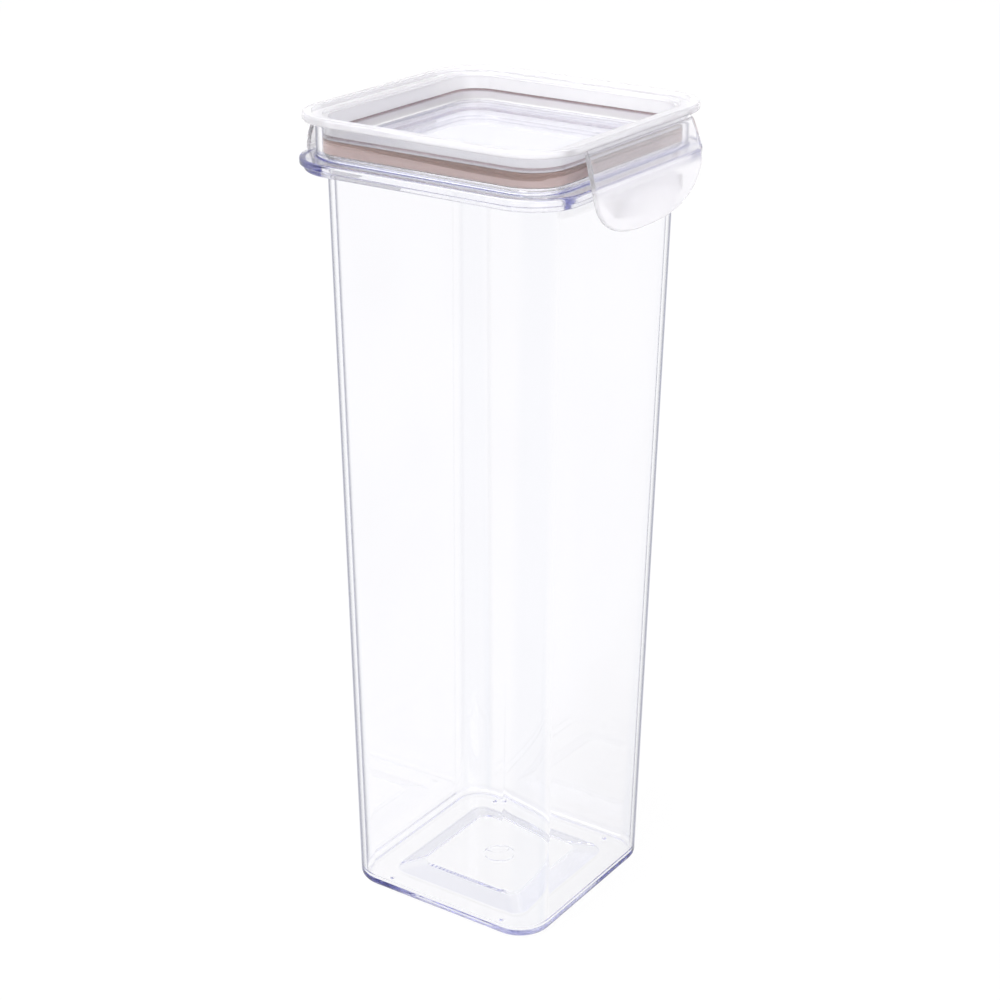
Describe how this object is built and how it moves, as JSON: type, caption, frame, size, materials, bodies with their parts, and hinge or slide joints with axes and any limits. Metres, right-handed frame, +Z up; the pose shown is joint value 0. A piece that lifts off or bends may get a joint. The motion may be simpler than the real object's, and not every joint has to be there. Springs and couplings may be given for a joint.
{
  "type": "food canister",
  "caption": "Tall square clear food canister with a gasketed press-in lid, a stacking recess and two flip-down latch flaps that hook under its collar.",
  "frame": {"origin": "centre of the base, on the surface the canister stands on", "axes": "+Z up through the lid; the two latch flaps are on the +X and -X sides; the plain sides face +Y and -Y"},
  "size_m": [0.116, 0.108, 0.2938],
  "materials": {
    "clear_plastic": "clear, polished",
    "milky_plastic": "milky translucent, satin",
    "clear_pan": "clear, polished",
    "silicone": "matte silicone, greyish pink-brown",
    "flap_plastic": "milky translucent, satin"
  },
  "bodies": {
    "container": {"container": "clear_plastic"},
    "lid": {"lid_frame": "milky_plastic", "lid_window": "clear_pan", "gasket": "silicone"},
    "latch_right": {"latch_flap_right": "flap_plastic"},
    "latch_left": {"latch_flap_left": "flap_plastic"}
  },
  "joints": [
    {"name": "lid_lift", "type": "slide", "parent": "container", "child": "lid", "axis": [0, 0, 1], "range_m": [0, 0.084]},
    {"name": "latch_right_hinge", "type": "hinge", "parent": "lid", "child": "latch_right", "pos_m": [0.0533, 0, 0.29125], "axis": [0, -1, 0], "range_deg": [0, 120]},
    {"name": "latch_left_hinge", "type": "hinge", "parent": "lid", "child": "latch_left", "pos_m": [-0.0533, 0, 0.29125], "axis": [0, 1, 0], "range_deg": [0, 120]}
  ]
}
